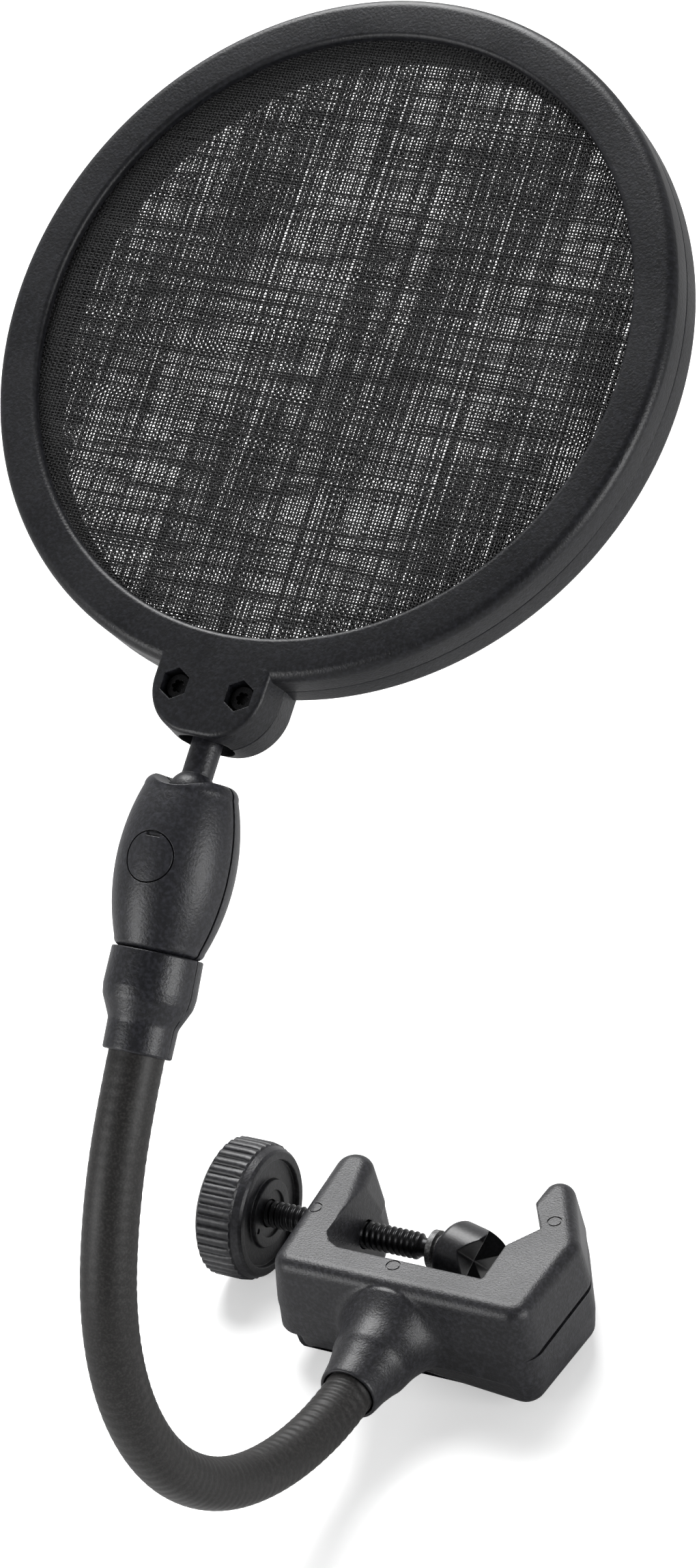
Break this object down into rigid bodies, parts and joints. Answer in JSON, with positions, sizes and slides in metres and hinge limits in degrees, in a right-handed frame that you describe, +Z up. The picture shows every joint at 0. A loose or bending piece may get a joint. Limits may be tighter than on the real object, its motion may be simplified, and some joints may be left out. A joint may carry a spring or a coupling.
{
  "type": "pop filter",
  "caption": "clamp-on pop filter: a fabric-faced hoop on a ball link and friction barrel, a flexible neck and a screw clamp for a stand",
  "frame": {"origin": "on the underside plane of the clamp, below the axis of the clamp screw, midway across the gap between the jaws", "axes": "+Z up; +X along the clamp screw from the knob to the fixed jaw with the V; +Y the way the jaws open, away from the neck"},
  "size_m": [0.15, 0.2107, 0.2971],
  "materials": {
    "hoop_plastic": "fine-grained moulded plastic, near black",
    "mesh_nylon": "thin woven nylon mesh, black",
    "joint_plastic": "satin moulded plastic, near black",
    "clamp_plastic": "fine-grained moulded plastic, charcoal",
    "knob_plastic": "moulded plastic, near black",
    "pad_plastic": "smooth moulded plastic, near black",
    "seat_nylon": "plain nylon, dark grey",
    "sleeve_rubber": "matte flexible sleeve, black",
    "black_steel": "blackened steel, satin",
    "plain_steel": "zinc-plated steel",
    "brass_insert": "turned brass"
  },
  "bodies": {
    "clamp": {"clamp_upper": "clamp_plastic", "clamp_lower": "clamp_plastic", "clamp_screws": "black_steel", "jaw_nut": "brass_insert", "lower_ferrule": "plain_steel", "neck_sleeve_1": "sleeve_rubber", "neck_coil_1": "plain_steel"},
    "neck_2": {"neck_sleeve_2": "sleeve_rubber", "neck_coil_2": "plain_steel"},
    "neck_3": {"neck_sleeve_3": "sleeve_rubber", "neck_coil_3": "plain_steel"},
    "neck_4": {"neck_sleeve_4": "sleeve_rubber", "neck_coil_4": "plain_steel"},
    "neck_5": {"neck_sleeve_5": "sleeve_rubber", "neck_coil_5": "plain_steel"},
    "neck_6": {"neck_sleeve_6": "sleeve_rubber", "neck_coil_6": "plain_steel"},
    "barrel": {"neck_sleeve_7": "sleeve_rubber", "neck_coil_7": "plain_steel", "neck_collar": "joint_plastic", "upper_ferrule": "plain_steel", "barrel_front_shell": "joint_plastic", "barrel_rear_shell": "joint_plastic", "cup_spring_washer": "plain_steel", "barrel_screw": "black_steel", "barrel_nut": "plain_steel", "screw_cap": "joint_plastic"},
    "cup": {"friction_cup": "seat_nylon"},
    "link": {"ball_link": "joint_plastic"},
    "hoop_seat": {"hoop_ball_seat": "seat_nylon"},
    "hoop": {"front_ring": "hoop_plastic", "rear_ring": "hoop_plastic", "front_mesh": "mesh_nylon", "rear_mesh": "mesh_nylon", "spacer_ring": "hoop_plastic", "tab_screws": "black_steel", "tab_nuts": "black_steel"},
    "screw_carrier": {"pad_washer": "seat_nylon"},
    "knob": {"thumb_knob": "knob_plastic", "threaded_rod": "black_steel"},
    "pad": {"swivel_pad": "pad_plastic"}
  },
  "joints": [
    {"name": "neck_bend_1", "type": "hinge", "parent": "clamp", "child": "neck_2", "pos_m": [-0.0018, -0.06501, 0.01471], "axis": [1, 0, 0], "range_deg": [-12, 12], "stiffness_Nm_per_rad": 6},
    {"name": "neck_bend_2", "type": "hinge", "parent": "neck_2", "child": "neck_3", "pos_m": [-0.0018, -0.09419, 0.02626], "axis": [0, -0.527, -0.8499], "range_deg": [-15, 15], "stiffness_Nm_per_rad": 6},
    {"name": "neck_bend_3", "type": "hinge", "parent": "neck_3", "child": "neck_4", "pos_m": [-0.0018, -0.11677, 0.04796], "axis": [1, 0, 0], "range_deg": [-12, 24], "stiffness_Nm_per_rad": 6},
    {"name": "neck_bend_4", "type": "hinge", "parent": "neck_4", "child": "neck_5", "pos_m": [-0.0018, -0.12785, 0.07719], "axis": [1, 0, 0], "range_deg": [-12, 24], "stiffness_Nm_per_rad": 6},
    {"name": "neck_bend_5", "type": "hinge", "parent": "neck_5", "child": "neck_6", "pos_m": [-0.0018, -0.12396, 0.10816], "axis": [0, -0.9291, 0.3697], "range_deg": [-15, 15], "stiffness_Nm_per_rad": 6},
    {"name": "neck_bend_6", "type": "hinge", "parent": "neck_6", "child": "barrel", "pos_m": [-0.0018, -0.10794, 0.1352], "axis": [1, 0, 0], "range_deg": [-12, 20], "stiffness_Nm_per_rad": 6},
    {"name": "cup_spin", "type": "hinge", "parent": "barrel", "child": "cup", "pos_m": [-0.0018, -0.06398, 0.18334], "axis": [0, 0.6782, 0.7349], "continuous": true},
    {"name": "link_tilt", "type": "hinge", "parent": "cup", "child": "link", "pos_m": [-0.0018, -0.06398, 0.18334], "axis": [1, 0, 0], "range_deg": [-16, 38], "stiffness_Nm_per_rad": 2},
    {"name": "seat_spin", "type": "hinge", "parent": "link", "child": "hoop_seat", "pos_m": [-0.0018, -0.05101, 0.1927], "axis": [0, 0.8111, 0.585], "continuous": true},
    {"name": "hoop_tilt", "type": "hinge", "parent": "hoop_seat", "child": "hoop", "pos_m": [-0.0018, -0.05101, 0.1927], "axis": [1, 0, 0], "range_deg": [-12, 12], "stiffness_Nm_per_rad": 2},
    {"name": "screw_travel", "type": "slide", "parent": "clamp", "child": "screw_carrier", "axis": [1, 0, 0], "range_m": [-0.01352, 0.00902]},
    {"name": "knob_turn", "type": "hinge", "parent": "screw_carrier", "child": "knob", "pos_m": [-0.055, 0, 0.0133], "axis": [1, 0, 0], "range_deg": [-3240, 2160]},
    {"name": "pad_swivel", "type": "hinge", "parent": "screw_carrier", "child": "pad", "pos_m": [0.001, 0, 0.0133], "axis": [0, 0, 1], "range_deg": [-3, 30]}
  ],
  "couplings": [
    {"joint": "screw_travel", "follows": "knob_turn", "m_per_rad": 0.00023873}
  ]
}
